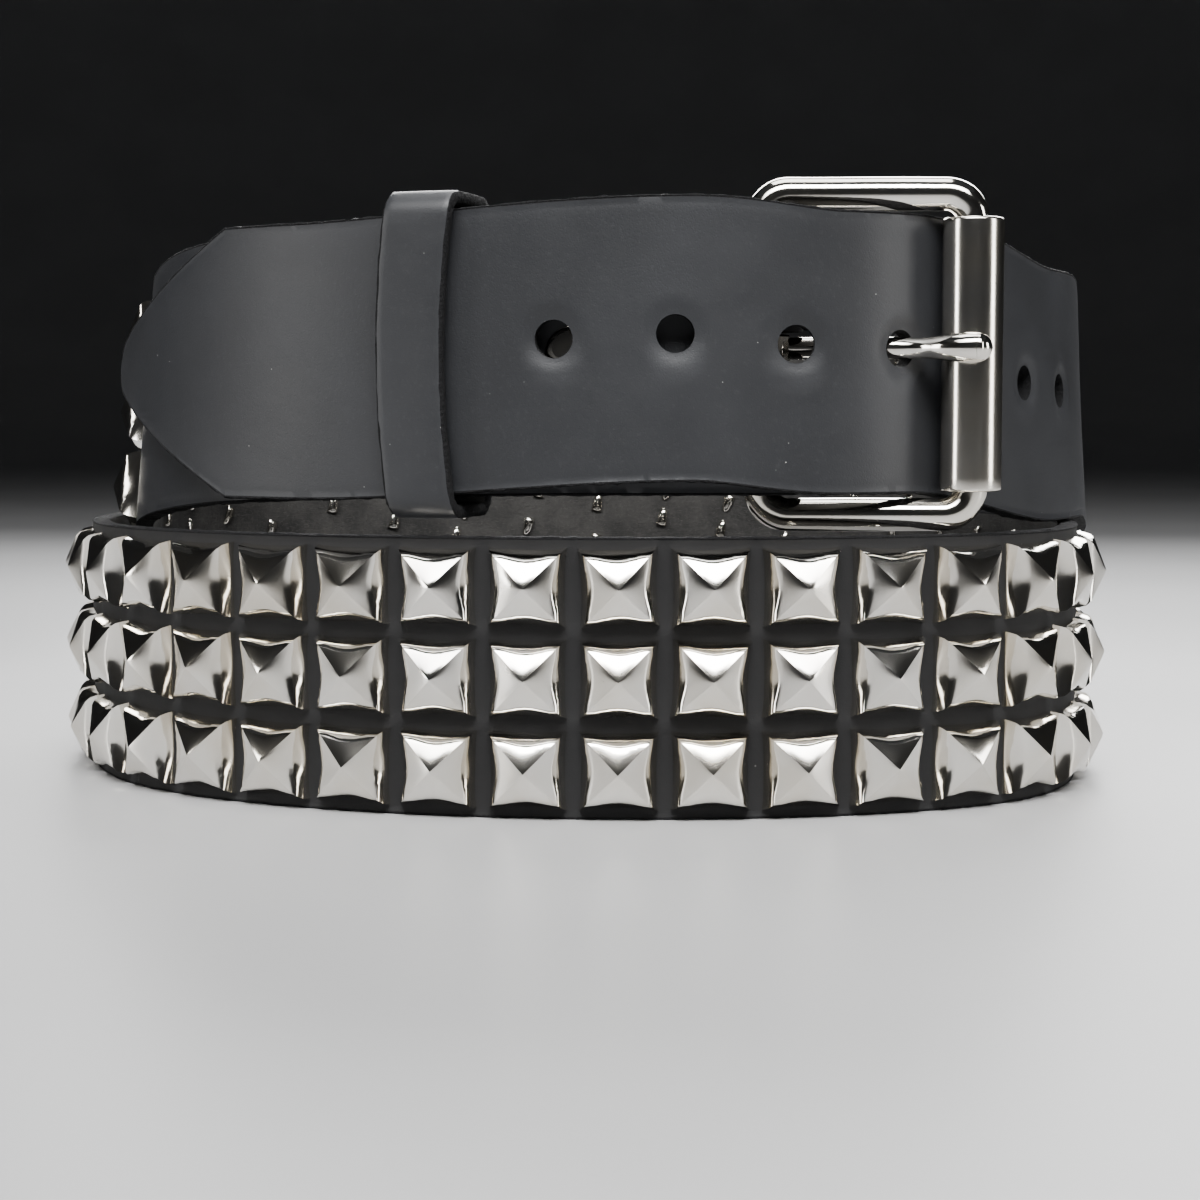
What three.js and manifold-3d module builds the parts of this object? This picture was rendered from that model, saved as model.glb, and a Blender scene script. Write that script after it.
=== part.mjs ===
// Studded leather belt, fastened on its roller buckle and coiled twice into a standing double loop.
// Millimetres, +Z up. The buckle faces -Y, and the lower turn stands on the plane z = 0.
import * as THREE from "three";
import { mergeVertices } from "three/addons/utils/BufferGeometryUtils.js";
import Module from "manifold-3d";

const wasm = await Module();
wasm.setup();

// Strap
const strapWidth = 44.5;
const strapThickness = 3.3;
const plainAtBuckle = 144; // from the rear bar to the first column of studs
const tipLength = 39;
const tipRadius = 5.5;
const tipReach = 156; // from the prong's hole to the end of the tip
const holeDiameter = 6;
const holePitch = 19;
const holesEachSide = 3; // of the one that the prong is in
const holeRaise = 0.8; // above the middle of the strap

// Studs
const studSide = 12;
const studHeight = 5.3;
const studSkirt = 1.1; // upright edge below the sloping faces
const studShoulder = 3.2; // height where the faces turn towards the point
const studShoulderSide = 9.2;
const studPitch = 14.4;
const studRows = 3;
const studColumns = 55;
const studSink = 0.4; // how far the rim is pressed into the leather
const studSeat = 12.6; // flat of the bent strap under each stud

// Coil, seen from above: an oval that is flattened in front and behind
const coilRadius = 82.7;
const coilStretch = 7.3; // added along the long axis and taken off across it
const coilStretchTurn = 112; // degrees from the front to the long axis, clockwise
const coilFlat = 1.9;
const leadIn = 10.9; // how much straighter than the oval the strap runs up to the buckle
const earlyDrop = 3.6; // from the buckle to the first studs
const climb = 39.2; // of the outer turn up the studs of the inner one
const strapRaise = 0.15; // the strap above the middle of the buckle where it goes through
const strapArch = 2.1; // how much further it bows up past the roller
const tipDrop = 1; // the end of the tip below the middle of the buckle
const tipSpring = 0.8; // the end of the tip stands off
const nestGap = 0.8; // between the studs of the inner turn and the back of the outer one
const lapGap = 1.45; // between the tip and the buckle end that it covers
const restGap = 0.35; // between pieces that rest on each other

// Buckle
const wireDiameter = 5.4;
const frameInnerHeight = 45.6;
const frameReach = 33.8; // between the middles of the two bars
const frameCorner = 4.4;
const rollerDiameter = 9.8;
const rollerWall = 1.7;
const rollerLength = 43.4;
const wrapSeat = 0.8; // leather clear of the bar
const prongSeat = 0.4; // prong clear of the bar and of the roller
const prongDiameter = 3.6;
const prongRaise = 1.05; // above the middle of the frame
const prongLift = 2.1; // out of the frame's plane where it goes through the strap
const prongEyeWall = 1.7;
const prongEyeHeight = 4.4;
const prongPastRoller = 2.2;
const prongNose = { long: 8, deep: 4.8, tall: 5 };
const slotClearance = 0.4;

// Fold, rivets and keeper
const foldLength = 74; // from the bar to the end of the turned-back leather
const foldCloseLength = 20; // where the two layers have come together
const rivetHeadDiameter = 9;
const rivetHeadHeight = 0.5;
const rivetSeat = 0.45; // heads clear of the bent leather
const rivetShankDiameter = 4;
const rivetPlaces = [31, 66]; // from the rear bar, one each side of the keeper
const keeperPlace = 53;
const keeperWidth = 11.2;
const keeperThickness = 2.2;
const keeperSlack = 1;
const keeperCorner = 1.8; // inside
const keeperBow = 2; // the middle of its front leans towards the tip

const degree = Math.PI / 180;
const halfWidth = strapWidth / 2;
const nest = strapThickness + studHeight + nestGap;
const lap = strapThickness + lapGap;
const wireRadius = wireDiameter / 2;
const tierHeight = strapWidth + restGap; // what lies on the lower turn starts here
const buckleMiddle = tierHeight + wireDiameter + frameInnerHeight / 2;

// How the strap lies, by its turning angle in degrees: 0 faces the front, 90 left, 180 back, 270 right,
// and each full turn adds 360. Between from and to it moves outward, rises and leans its top edge in
// by these amounts.
const lie = [
  { from: 4, to: 88, out: 0, rise: -earlyDrop, lean: 0 },
  { from: 10, to: 100, out: lap, rise: 0, lean: 0 },
  { from: 25, to: 80, out: 0, rise: 0, lean: 5 },
  { from: 39, to: 236, out: 0, rise: halfWidth - buckleMiddle + earlyDrop, lean: 0 },
  { from: 90, to: 170, out: 0, rise: 0, lean: -5 },
  { from: 345, to: 445, out: nest, rise: 0, lean: 0 },
  { from: 455, to: 610, out: 0, rise: climb, lean: 0 },
  { from: 585, to: 630, out: 0, rise: 0, lean: 3 },
  { from: 607, to: 680, out: -nest - leadIn, rise: 0, lean: 0 },
  { from: 612, to: 650, out: 0, rise: tierHeight - climb, lean: 0 },
  { from: 651, to: 715, out: leadIn, rise: 0, lean: 0 },
  { from: 650, to: 676, out: 0, rise: 0, lean: -3 },
  { from: 658, to: 682, out: 0, rise: buckleMiddle + strapRaise - tierHeight - halfWidth, lean: 0 },
  { from: 702, to: 718, out: 0, rise: strapArch, lean: 0 },
  { from: 718, to: 750, out: 0, rise: -strapArch - strapRaise - tipDrop, lean: 0 },
  { from: 730, to: 820, out: lap, rise: 0, lean: 0 },
  { from: 745, to: 800, out: 0, rise: 0, lean: 5 },
  { from: 755, to: 800, out: tipSpring, rise: 0, lean: 0 },
];
const firstTurn = -8; // turning angle of the buckle end at the rear bar
const lastTurn = 840;
const turnStep = 0.25;

function easeIn(from, to, value) {
  const t = Math.min(Math.max((value - from) / (to - from), 0), 1);
  return t * t * t * (t * (6 * t - 15) + 10);
}

function easeGently(from, to, value) {
  const t = Math.min(Math.max((value - from) / (to - from), 0), 1);
  return t * t * (3 - 2 * t);
}

// Distance from the coil's middle to the strap's tangent line at a turning angle.
function tangentDistance(turn) {
  const oval =
    coilRadius + coilStretch * Math.cos(2 * (turn - coilStretchTurn) * degree) - coilFlat * Math.cos(4 * turn * degree);
  const layer = lie.reduce((sum, row) => sum + row.out * easeIn(row.from, row.to, turn), -lap);
  return oval + layer;
}

function outward(turn) {
  return new THREE.Vector3(-Math.sin(turn * degree), -Math.cos(turn * degree), 0);
}

function forward(turn) {
  return new THREE.Vector3(-Math.cos(turn * degree), Math.sin(turn * degree), 0);
}

// The smooth face of the strap in plan, every quarter of a degree, with the length run so far.
function plotPlan() {
  const half = turnStep / 2;
  const places = [];
  for (let turn = firstTurn - 40; turn <= lastTurn; turn += turnStep) {
    const slope = (tangentDistance(turn + half) - tangentDistance(turn - half)) / (turnStep * degree);
    const point = outward(turn).multiplyScalar(tangentDistance(turn));
    places.push({ turn, point: point.addScaledVector(forward(turn), slope), run: 0 });
  }
  const frontY = Math.min(...places.filter((place) => Math.abs(place.turn - 360) < 20).map((place) => place.point.y));
  places.forEach((place) => (place.point.y -= frontY));
  for (let i = 1; i < places.length; i++) {
    places[i].run = places[i - 1].run + places[i].point.distanceTo(places[i - 1].point);
  }
  const start = places.find((place) => place.turn >= firstTurn).run;
  places.forEach((place) => (place.run -= start));
  return places;
}

const plan = plotPlan();

// Reads one column of the plan where another column has the given value.
function readPlan(key, value, wanted) {
  let low = 0;
  let high = plan.length - 1;
  while (high - low > 1) {
    const middle = (low + high) >> 1;
    if (plan[middle][key] <= value) low = middle;
    else high = middle;
  }
  const t = (value - plan[low][key]) / (plan[high][key] - plan[low][key]);
  if (wanted === "point") return plan[low].point.clone().lerp(plan[high].point, t);
  return plan[low][wanted] + (plan[high][wanted] - plan[low][wanted]) * t;
}

const changes = lie.map((row) => ({
  start: readPlan("turn", row.from, "run"),
  end: readPlan("turn", row.to, "run"),
  rise: row.rise,
  lean: row.lean,
}));

function addUp(key, run) {
  return changes.reduce((sum, row) => sum + row[key] * easeGently(row.start, row.end, run), 0);
}

// Where the strap is at a length from the rear bar: a point in the middle of its smooth face, with the
// directions out of that face, along the strap and across it.
function placeAt(run) {
  const turn = readPlan("run", run, "turn");
  const point = readPlan("run", run, "point");
  point.z = buckleMiddle + addUp("rise", run);
  const climb = Math.atan(addUp("rise", run + 0.5) - addUp("rise", run - 0.5));
  const lean = addUp("lean", run) * degree;
  const level = outward(turn);
  const along = forward(turn).multiplyScalar(Math.cos(climb));
  along.z = Math.sin(climb);
  const upright = new THREE.Vector3().crossVectors(along, level);
  const out = level.clone().multiplyScalar(Math.cos(lean)).addScaledVector(upright, Math.sin(lean));
  return { point, out, along, across: new THREE.Vector3().crossVectors(along, out) };
}

// Solids
function toSolid(geometry) {
  const bare = geometry.clone();
  bare.deleteAttribute("normal");
  bare.deleteAttribute("uv");
  const merged = mergeVertices(bare, 1e-4);
  const solid = new wasm.Manifold(
    new wasm.Mesh({
      numProp: 3,
      vertProperties: merged.attributes.position.array,
      triVerts: new Uint32Array(merged.index.array),
    }),
  );
  return solid.volume() < 0 ? turnedInsideOut(merged) : solid;
}

function turnedInsideOut(merged) {
  const triVerts = new Uint32Array(merged.index.array);
  for (let i = 0; i < triVerts.length; i += 3) {
    [triVerts[i + 1], triVerts[i + 2]] = [triVerts[i + 2], triVerts[i + 1]];
  }
  return new wasm.Manifold(
    new wasm.Mesh({ numProp: 3, vertProperties: merged.attributes.position.array, triVerts }),
  );
}

function toGeometry(solid) {
  const mesh = solid.getMesh();
  const geometry = new THREE.BufferGeometry();
  geometry.setAttribute("position", new THREE.BufferAttribute(mesh.vertProperties, 3));
  geometry.setIndex(new THREE.BufferAttribute(mesh.triVerts, 1));
  const flat = geometry.toNonIndexed();
  flat.computeVertexNormals();
  return flat;
}

// Moves a geometry so that its own x runs along the strap, its y out of the face and its z across.
function setAt(geometry, place, outBy = 0, acrossBy = 0) {
  const origin = place.point.clone().addScaledVector(place.out, outBy).addScaledVector(place.across, acrossBy);
  const basis = new THREE.Matrix4().makeBasis(place.along, place.out, place.across);
  return geometry.clone().applyMatrix4(basis.setPosition(origin));
}

// A flat strip of leather through a row of stations, each with its own half width.
function bentStrip(stations) {
  const spans = stations.length - 1;
  const geometry = new THREE.BoxGeometry(spans, 1, 1, spans, 1, 1);
  const positions = geometry.attributes.position;
  for (let i = 0; i < positions.count; i++) {
    const station = stations[Math.round(positions.getX(i) + spans / 2)];
    const depth = positions.getY(i) > 0 ? 0 : -strapThickness;
    const side = Math.sign(positions.getZ(i));
    const corner = station.point
      .clone()
      .addScaledVector(station.out, depth)
      .addScaledVector(station.across, side * station.halfWidth);
    positions.setXYZ(i, corner.x, corner.y, corner.z);
  }
  return geometry;
}

// Where the buckle sits
const buckleEnd = placeAt(0);
const rearBar = buckleEnd.point.clone().addScaledVector(buckleEnd.out, -(strapThickness + wrapSeat + wireRadius));
rearBar.z = buckleMiddle;

// The roller bears on the strap, as far from the rear bar as the frame is long.
function findFrontBar() {
  const standOff = rollerDiameter / 2 + restGap;
  let run = readPlan("turn", 722, "run");
  let bar;
  do {
    run -= 0.1;
    const place = placeAt(run);
    bar = place.point.clone().addScaledVector(place.out, standOff);
    bar.z = buckleMiddle;
  } while (bar.distanceTo(rearBar) < frameReach);
  return bar;
}

const frontBar = findFrontBar();
const frameRight = frontBar.clone().sub(rearBar).normalize();
const frameOut = new THREE.Vector3(frameRight.y, -frameRight.x, 0);

function onFrame(right, out, up = 0) {
  return rearBar
    .clone()
    .addScaledVector(frameRight, right)
    .addScaledVector(frameOut, out)
    .add(new THREE.Vector3(0, 0, up));
}

// The prong goes through the middle of the strap's thickness this far out of the frame's plane.
function findProngHole() {
  let run = readPlan("turn", 722, "run");
  let out;
  do {
    run -= 0.1;
    const place = placeAt(run);
    out = place.point.clone().addScaledVector(place.out, -strapThickness / 2).sub(rearBar).dot(frameOut);
  } while (out > prongLift);
  return run;
}

const prongHoleRun = findProngHole();
const strapEnd = prongHoleRun + tipReach;

// Strap
function halfWidthAt(run) {
  const left = strapEnd - run;
  const shoulder = Math.atan2(halfWidth - tipRadius, tipLength - tipRadius);
  const straightFrom = tipRadius * (1 - Math.sin(shoulder));
  if (left >= tipLength) return halfWidth;
  if (left > straightFrom) {
    const share = (left - straightFrom) / (tipLength - straightFrom);
    return tipRadius * Math.cos(shoulder) + (halfWidth - tipRadius * Math.cos(shoulder)) * share;
  }
  return Math.max(Math.sqrt(tipRadius ** 2 - (tipRadius - left) ** 2), tipRadius * 0.3);
}

function stationAt(run) {
  return { ...placeAt(run), halfWidth: halfWidthAt(run) };
}

const columnRuns = Array.from({ length: studColumns }, (_, i) => plainAtBuckle + studSide / 2 + i * studPitch);
const studsEnd = columnRuns.at(-1) + studSeat / 2;

function foldGap(run) {
  return restGap + (2 * (wireRadius + wrapSeat) - restGap) * (1 - easeGently(0, foldCloseLength, run));
}

// The turned-back layer lies behind the buckle end, and closes up to it away from the bar.
function foldStation(run) {
  const front = placeAt(run);
  const gap = foldGap(run);
  return {
    point: front.point.clone().addScaledVector(front.out, -(2 * strapThickness + gap)),
    out: front.out.clone().negate(),
    across: front.across,
    halfWidth,
  };
}

function wrapStation(turn) {
  const out = outward(turn);
  const radius = wireRadius + wrapSeat + strapThickness;
  return { point: rearBar.clone().addScaledVector(out, radius), out, across: buckleEnd.across, halfWidth };
}

function evenRuns(from, to, step) {
  const count = Math.max(1, Math.round((to - from) / step));
  return Array.from({ length: count + 1 }, (_, i) => from + ((to - from) * i) / count);
}

function strapStations() {
  const fold = evenRuns(foldLength, 0, -6).map((run) => foldStation(run));
  const wrap = evenRuns(firstTurn - 180, firstTurn, 20).slice(1, -1).map((turn) => wrapStation(turn));
  const plain = evenRuns(0, plainAtBuckle, 6).slice(0, -1);
  const studded = columnRuns.flatMap((run) => [run - studSeat / 2, run + studSeat / 2]);
  const holed = evenRuns(studsEnd, strapEnd - tipLength, 5).slice(1);
  const tip = evenRuns(strapEnd - tipLength, strapEnd - tipRadius, 5).slice(1);
  const nose = [0.72, 0.45, 0.2, 0.05, 0].map((share) => strapEnd - tipRadius * share);
  return [...fold, ...wrap, ...[...plain, ...studded, ...holed, ...tip, ...nose].map(stationAt)];
}

function studGeometry() {
  const corner = Math.SQRT2 / 2;
  const profile = [
    new THREE.Vector2(0, -studSink),
    new THREE.Vector2(studSide * corner, -studSink),
    new THREE.Vector2(studSide * corner, studSkirt),
    new THREE.Vector2(studShoulderSide * corner, studShoulder),
    new THREE.Vector2(0, studHeight),
  ];
  return new THREE.LatheGeometry(profile, 4, Math.PI / 4);
}

function studSolids() {
  const stud = studGeometry();
  const solids = [];
  for (const run of columnRuns) {
    const near = placeAt(run - studSeat / 2);
    const far = placeAt(run + studSeat / 2);
    const along = far.point.clone().sub(near.point).normalize();
    const across = near.across.clone().add(far.across).normalize();
    const place = {
      point: near.point.clone().lerp(far.point, 0.5),
      along,
      across,
      out: new THREE.Vector3().crossVectors(across, along).normalize(),
    };
    for (let row = 0; row < studRows; row++) {
      const up = ((studRows - 1) / 2 - row) * studPitch;
      solids.push(toSolid(setAt(stud, place, 0, up)));
    }
  }
  return solids;
}

function punch(diameter, run) {
  const pin = new THREE.CylinderGeometry(diameter / 2, diameter / 2, strapThickness + lapGap, 16);
  return toSolid(setAt(pin, placeAt(run), -strapThickness / 2, holeRaise));
}

// Prong: an eye round the rear bar, and a shaft that rises through the strap and lies on the roller
const rollerTop = rollerDiameter / 2 + prongSeat;
const holeRight = placeAt(prongHoleRun).point.sub(rearBar).dot(frameRight);

function prongPath() {
  const height = rollerTop + prongDiameter / 2 + 0.1;
  return new THREE.CatmullRomCurve3([
    onFrame(wireRadius + prongSeat, 0, prongRaise),
    onFrame(holeRight * 0.55, prongLift * 0.35, prongRaise),
    onFrame(holeRight, prongLift, prongRaise),
    onFrame(frameReach - rollerDiameter * 0.47, height * 0.79, prongRaise),
    onFrame(frameReach, height, prongRaise),
    onFrame(frameReach + prongPastRoller - prongNose.long * 0.3, height, prongRaise),
  ]);
}

function rod(path, radius, steps) {
  const round = new THREE.Shape();
  round.absarc(0, 0, radius, 0, 2 * Math.PI);
  return new THREE.ExtrudeGeometry(round, { steps, extrudePath: path, curveSegments: 5, bevelEnabled: false });
}

function prongSolid() {
  const radius = prongDiameter / 2;
  const inner = wireRadius + prongSeat;
  const half = prongEyeHeight / 2;
  const eyeProfile = [
    new THREE.Vector2(inner, -half),
    new THREE.Vector2(inner + prongEyeWall, -half),
    new THREE.Vector2(inner + prongEyeWall, half),
    new THREE.Vector2(inner, half),
    new THREE.Vector2(inner, -half),
  ];
  const eye = new THREE.LatheGeometry(eyeProfile, 20).rotateX(Math.PI / 2);
  eye.translate(rearBar.x, rearBar.y, buckleMiddle + prongRaise);
  const bore = new THREE.CylinderGeometry(inner, inner, prongEyeHeight * 2, 20).rotateX(Math.PI / 2);
  bore.translate(rearBar.x, rearBar.y, buckleMiddle + prongRaise);
  const nose = new THREE.SphereGeometry(0.5, 12, 7).scale(prongNose.long, prongNose.deep, prongNose.tall);
  nose.rotateZ(Math.atan2(frameRight.y, frameRight.x));
  const end = onFrame(frameReach + prongPastRoller - prongNose.long / 2, prongNose.deep / 2 + rollerTop, prongRaise);
  nose.translate(end.x, end.y, end.z);
  return toSolid(eye).add(toSolid(rod(prongPath(), radius, 14)).subtract(toSolid(bore))).add(toSolid(nose));
}

// The strap is pressed clear of the prong, and the fold is slotted for its eye.
function prongClearance() {
  const radius = prongDiameter / 2 + restGap;
  const slotHeight = prongEyeHeight + 2 * slotClearance;
  const reach = wireRadius + wrapSeat + strapThickness + 2;
  const slot = new THREE.BoxGeometry(2 * reach, 2 * reach, slotHeight);
  slot.rotateZ(Math.atan2(frameRight.y, frameRight.x));
  slot.translate(rearBar.x, rearBar.y, buckleMiddle + prongRaise);
  return [toSolid(slot), toSolid(rod(prongPath(), radius, 14))];
}

function strapSolid() {
  const leather = toSolid(bentStrip(strapStations()));
  const holes = [];
  for (let i = -holesEachSide; i <= holesEachSide; i++) {
    holes.push(punch(holeDiameter, prongHoleRun + i * holePitch));
  }
  const rivetHoles = rivetPlaces.map((run) => rivetHole(run));
  const cut = wasm.Manifold.union([...holes, ...rivetHoles]);
  const [slot, channel] = prongClearance();
  return wasm.Manifold.union([leather, ...studSolids()]).subtract(cut).subtract(slot).subtract(channel);
}

// Rivets through both layers of the fold
function rivetPlace(run) {
  return { place: placeAt(run), grip: 2 * strapThickness + foldGap(run) };
}

function rivetHole(run) {
  const { place, grip } = rivetPlace(run);
  const radius = rivetShankDiameter / 2 + restGap;
  const hole = new THREE.CylinderGeometry(radius, radius, grip + 1, 12);
  return toSolid(setAt(hole, place, -grip / 2));
}

function rivetSolid(run) {
  const { place, grip } = rivetPlace(run);
  const head = rivetHeadDiameter / 2;
  const shank = rivetShankDiameter / 2;
  const top = rivetSeat;
  const bottom = -grip - rivetSeat;
  const profile = [
    new THREE.Vector2(0, bottom - rivetHeadHeight),
    new THREE.Vector2(head * 0.8, bottom - rivetHeadHeight),
    new THREE.Vector2(head, bottom - rivetHeadHeight * 0.4),
    new THREE.Vector2(head, bottom),
    new THREE.Vector2(shank, bottom),
    new THREE.Vector2(shank, top),
    new THREE.Vector2(head, top),
    new THREE.Vector2(head, top + rivetHeadHeight * 0.4),
    new THREE.Vector2(head * 0.8, top + rivetHeadHeight),
    new THREE.Vector2(0, top + rivetHeadHeight),
  ];
  return toSolid(setAt(new THREE.LatheGeometry(profile, 16), place));
}

// Keeper: a closed leather band round the tip and both layers of the fold
function loopOutline(halfDepth, halfHeight, radius) {
  const outline = [];
  const corners = [
    [1, 1, 0],
    [-1, 1, 90],
    [-1, -1, 180],
    [1, -1, 270],
  ];
  const sideSteps = 6;
  corners.forEach(([x, y, start], i) => {
    const centre = new THREE.Vector2(x * (halfDepth - radius), y * (halfHeight - radius));
    for (let k = 0; k <= 4; k++) {
      const angle = (start + k * 22.5) * degree;
      outline.push(new THREE.Vector2(centre.x + radius * Math.cos(angle), centre.y + radius * Math.sin(angle)));
    }
    if (i % 2 === 1) {
      const straight = halfHeight - radius;
      for (let k = 1; k < sideSteps; k++) {
        outline.push(new THREE.Vector2(x * halfDepth, y * straight * (1 - (2 * k) / sideSteps)));
      }
    }
  });
  return outline;
}

function keeperSolid() {
  const tipRun = tipRunOver(keeperPlace);
  const under = placeAt(keeperPlace);
  const over = placeAt(tipRun);
  const layers = strapThickness * 3 + restGap + over.point.clone().sub(under.point).dot(under.out) - strapThickness;
  const top = Math.max(over.point.z, under.point.z) + halfWidth + keeperSlack;
  const bottom = Math.min(over.point.z, under.point.z) - halfWidth - keeperSlack;
  const halfDepth = layers / 2 + keeperSlack;
  const halfHeight = (top - bottom) / 2;
  const band = new THREE.Shape(
    loopOutline(halfDepth + keeperThickness, halfHeight + keeperThickness, keeperCorner + keeperThickness),
  );
  band.holes.push(new THREE.Path(loopOutline(halfDepth, halfHeight, keeperCorner)));
  const geometry = new THREE.ExtrudeGeometry(band, { depth: keeperWidth, steps: 1, bevelEnabled: false });
  geometry.translate(0, 0, -keeperWidth / 2);
  const positions = geometry.attributes.position;
  for (let i = 0; i < positions.count; i++) {
    const front = positions.getX(i) > 0 ? 1 : 0;
    const share = positions.getY(i) / (halfHeight + keeperThickness);
    positions.setZ(i, positions.getZ(i) + front * keeperBow * (1 - share * share));
  }
  const across = new THREE.Vector3(0, 0, 1);
  const out = over.out.clone().setZ(0).normalize();
  const along = new THREE.Vector3().crossVectors(out, across);
  const middle = over.point.clone().addScaledVector(out, -layers / 2);
  middle.z = (top + bottom) / 2;
  return toSolid(geometry.applyMatrix4(new THREE.Matrix4().makeBasis(out, across, along).setPosition(middle)));
}

// Length at which the tip covers the buckle end at a given place.
function tipRunOver(run) {
  const under = placeAt(run);
  let best = prongHoleRun;
  let nearest = Infinity;
  for (let at = prongHoleRun; at < strapEnd; at += 0.25) {
    const offset = placeAt(at).point.sub(under.point).setZ(0);
    const sideways = Math.abs(offset.dot(under.along));
    if (sideways < nearest) {
      nearest = sideways;
      best = at;
    }
  }
  return best;
}

// Frame: round wire in a rounded rectangle, upright
class RoundedRectangle extends THREE.Curve {
  getPoint(t) {
    const halfReach = frameReach / 2;
    const halfTall = (frameInnerHeight + wireDiameter) / 2;
    const flatReach = 2 * (halfReach - frameCorner);
    const flatTall = 2 * (halfTall - frameCorner);
    const bend = (Math.PI / 2) * frameCorner;
    const sides = [flatTall, flatReach, flatTall, flatReach];
    let left = (t % 1) * (2 * (flatTall + flatReach) + 4 * bend);
    let heading = 90;
    let right = halfReach;
    let up = -flatTall / 2;
    for (const side of sides) {
      const cos = Math.cos(heading * degree);
      const sin = Math.sin(heading * degree);
      const straight = Math.min(left, side);
      right += cos * straight;
      up += sin * straight;
      left -= straight;
      if (left <= 0) break;
      const turned = Math.min(left, bend) / frameCorner;
      right += frameCorner * (cos * Math.sin(turned) - sin * (1 - Math.cos(turned)));
      up += frameCorner * (sin * Math.sin(turned) + cos * (1 - Math.cos(turned)));
      left -= Math.min(left, bend);
      if (left <= 0) break;
      heading += 90;
    }
    return onFrame(halfReach + right, 0, up);
  }
}

function frameSolid() {
  return toSolid(new THREE.TubeGeometry(new RoundedRectangle(), 60, wireRadius, 8, true));
}

function rollerSolid() {
  const outer = rollerDiameter / 2;
  const inner = outer - rollerWall;
  const half = rollerLength / 2;
  const chamfer = rollerWall / 3;
  const profile = [
    new THREE.Vector2(inner, -half),
    new THREE.Vector2(outer - chamfer, -half),
    new THREE.Vector2(outer, -half + chamfer),
    new THREE.Vector2(outer, half - chamfer),
    new THREE.Vector2(outer - chamfer, half),
    new THREE.Vector2(inner, half),
    new THREE.Vector2(inner, -half),
  ];
  const geometry = new THREE.LatheGeometry(profile, 24).rotateX(Math.PI / 2);
  return toSolid(geometry.translate(frontBar.x, frontBar.y, buckleMiddle));
}

const leatherLook = new THREE.MeshStandardMaterial({ color: 0x1b1c1e, roughness: 0.55, metalness: 0 });
const metalLook = new THREE.MeshStandardMaterial({ color: 0xb9b4a8, roughness: 0.22, metalness: 1 });

function piece(name, solid, look) {
  const mesh = new THREE.Mesh(toGeometry(solid), look.clone());
  mesh.name = name;
  return mesh;
}

const belt = new THREE.Group();
belt.add(piece("studded_strap", strapSolid(), leatherLook));
belt.add(piece("keeper", keeperSolid(), leatherLook));
belt.add(piece("buckle_frame", frameSolid(), metalLook));
belt.add(piece("buckle_roller", rollerSolid(), metalLook));
belt.add(piece("buckle_prong", prongSolid(), metalLook));
rivetPlaces.forEach((run, i) => belt.add(piece(`rivet_${i + 1}`, rivetSolid(run), metalLook)));

// The frame of the part stands under the middle of the whole belt.
const box = new THREE.Box3().setFromObject(belt, true);
const middle = box.getCenter(new THREE.Vector3());
belt.position.set(-middle.x, -middle.y, -box.min.z);

export default belt;
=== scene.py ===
import math
import bmesh
import bpy
import numpy as np
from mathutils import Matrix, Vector


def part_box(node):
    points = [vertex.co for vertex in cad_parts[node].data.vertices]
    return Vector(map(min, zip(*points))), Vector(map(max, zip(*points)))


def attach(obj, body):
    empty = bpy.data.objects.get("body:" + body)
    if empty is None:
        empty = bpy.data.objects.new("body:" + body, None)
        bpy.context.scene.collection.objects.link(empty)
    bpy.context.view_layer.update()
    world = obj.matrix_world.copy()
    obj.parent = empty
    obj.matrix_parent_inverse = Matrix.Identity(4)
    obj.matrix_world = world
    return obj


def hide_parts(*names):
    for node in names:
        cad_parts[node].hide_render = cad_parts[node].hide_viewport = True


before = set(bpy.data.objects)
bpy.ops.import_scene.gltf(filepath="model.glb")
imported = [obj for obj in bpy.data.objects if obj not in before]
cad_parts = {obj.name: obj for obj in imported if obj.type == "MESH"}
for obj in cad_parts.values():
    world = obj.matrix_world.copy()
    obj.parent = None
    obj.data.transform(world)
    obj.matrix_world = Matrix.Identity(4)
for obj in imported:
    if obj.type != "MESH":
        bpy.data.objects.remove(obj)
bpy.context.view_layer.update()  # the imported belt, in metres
rng = np.random.default_rng(11)  # every random number below comes from here
mm = 0.001
deg = math.pi / 180

# Where the strap lies: all of this is worked out in millimetres, and moved to the part's own frame
# when a mesh is made.

coil = {"radius": 82.7, "stretch": 7.3, "stretchTurn": 112, "flat": 1.9, "nest": 9.4, "lap": 4.75,
        "leadIn": 10.9, "earlyDrop": 3.6, "climb": 39.2, "tier": 44.85, "firstTurn": -8, "lastTurn": 840}
strap = {"width": 44.5, "thick": 3.3, "plain": 144, "tipLength": 39, "tipRadius": 5.5, "tipReach": 156,
         "hole": 6, "holePitch": 19, "holesEachSide": 3, "holeRaise": 0.8, "raise": 0.15, "arch": 2.1,
         "tipDrop": 1, "tipSpring": 0.8, "rest": 0.35}
buckle = {"middle": 73.05, "wire": 2.7, "seat": 0.8, "reach": 33.8, "inner": 45.6, "corner": 4.4}
roller = {"radius": 4.9, "wall": 1.7, "length": 43.4}
prong = {"radius": 1.8, "raise": 1.05, "lift": 2.1, "seat": 0.4, "past": 2.2, "eyeWall": 1.7, "eye": 4.4}
half = strap["width"] / 2
thick = strap["thick"]

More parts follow.
